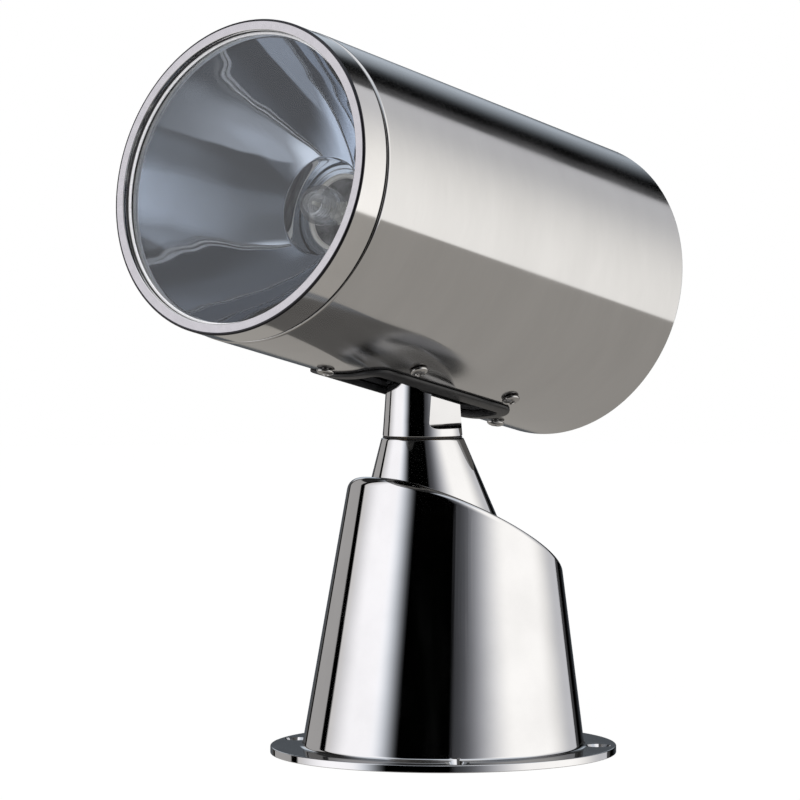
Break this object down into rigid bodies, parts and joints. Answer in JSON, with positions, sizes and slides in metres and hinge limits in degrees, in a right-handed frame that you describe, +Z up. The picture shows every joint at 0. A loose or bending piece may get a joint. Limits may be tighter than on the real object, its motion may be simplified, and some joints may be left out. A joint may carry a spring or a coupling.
{
  "type": "marine searchlight",
  "caption": "Drum-shaped marine searchlight that tilts on a geared axle in its slot and pans on a flanged leaning pedestal.",
  "frame": {"origin": "centre of the underside of the pedestal's flange, on the face of the bottom cover", "axes": "+Z up along the pan axis, -Y towards the pedestal's front; at rest the head is panned 13 degrees from -Y towards +X and its beam points 12.23 degrees up"},
  "size_m": [0.256, 0.3665, 0.4475],
  "materials": {
    "polished_steel": "mirror-polished stainless steel",
    "brushed_steel": "fine satin stainless steel",
    "bezel_steel": "polished stainless steel",
    "reflector_mirror": "bright dipped aluminium",
    "lamp_metal": "polished",
    "lens_glass": "clear",
    "bulb_glass": "clear",
    "rubber": "matt",
    "inner_steel": "zinc plated",
    "bronze": "turned",
    "black_steel": "matt black",
    "ceramic": "unglazed",
    "acetal": "natural"
  },
  "bodies": {
    "base": {"base_housing": "polished_steel", "base_cover": "inner_steel", "base_seal": "rubber", "cable_gland": "rubber", "cover_screw_1": "inner_steel", "cover_screw_2": "inner_steel", "cover_screw_3": "inner_steel", "cover_screw_4": "inner_steel", "chassis_plate": "inner_steel", "plate_screw_1": "inner_steel", "plate_screw_2": "inner_steel", "plate_screw_3": "inner_steel", "pan_motor": "inner_steel", "upper_bush": "bronze", "lower_bush": "bronze", "stem_seal": "rubber"},
    "turret": {"stem": "polished_steel", "pan_shaft": "inner_steel", "pan_gear": "bronze", "slip_washer": "inner_steel", "shaft_nut": "inner_steel", "tilt_axle": "inner_steel", "tilt_gear": "bronze", "axle_spacer": "acetal", "axle_clip_right": "inner_steel", "axle_clip_left": "inner_steel"},
    "head": {"head_tube": "brushed_steel", "rear_cover": "brushed_steel", "rear_seal": "rubber", "bezel": "bezel_steel", "glass_gasket": "rubber", "front_glass": "lens_glass", "lens_carrier": "black_steel", "reflector": "reflector_mirror", "lamp_collar": "lamp_metal", "lamp_socket": "ceramic", "halogen_bulb": "bulb_glass", "slot_gasket": "rubber", "head_screw_1": "polished_steel", "head_screw_2": "polished_steel", "head_screw_3": "polished_steel", "head_screw_4": "polished_steel", "head_screw_5": "polished_steel", "head_screw_6": "polished_steel", "tilt_cradle": "black_steel", "tilt_bush_right": "bronze", "tilt_bush_left": "bronze", "tilt_motor": "inner_steel"},
    "pan_drive": {"pan_pinion": "inner_steel"},
    "tilt_drive": {"tilt_pinion": "inner_steel"}
  },
  "joints": [
    {"name": "pan", "type": "hinge", "parent": "base", "child": "turret", "pos_m": [0, -0.016, 0.197], "axis": [0, 0, 1], "range_deg": [-198, 172]},
    {"name": "tilt", "type": "hinge", "parent": "turret", "child": "head", "pos_m": [0, -0.016, 0.2683], "axis": [-0.9744, -0.225, 0], "range_deg": [-42, 17.5]},
    {"name": "pan_pinion", "type": "hinge", "parent": "base", "child": "pan_drive", "pos_m": [0, 0.02925, 0.05], "axis": [0, 0, 1], "range_deg": [-700, 800]},
    {"name": "tilt_pinion", "type": "hinge", "parent": "head", "child": "tilt_drive", "pos_m": [-0.00742, 0.01616, 0.28954], "axis": [-0.9744, -0.225, 0], "range_deg": [-141, 60]}
  ],
  "couplings": [
    {"joint": "pan_pinion", "follows": "pan", "ratio": -4},
    {"joint": "tilt_pinion", "follows": "tilt", "ratio": 3.3333}
  ]
}
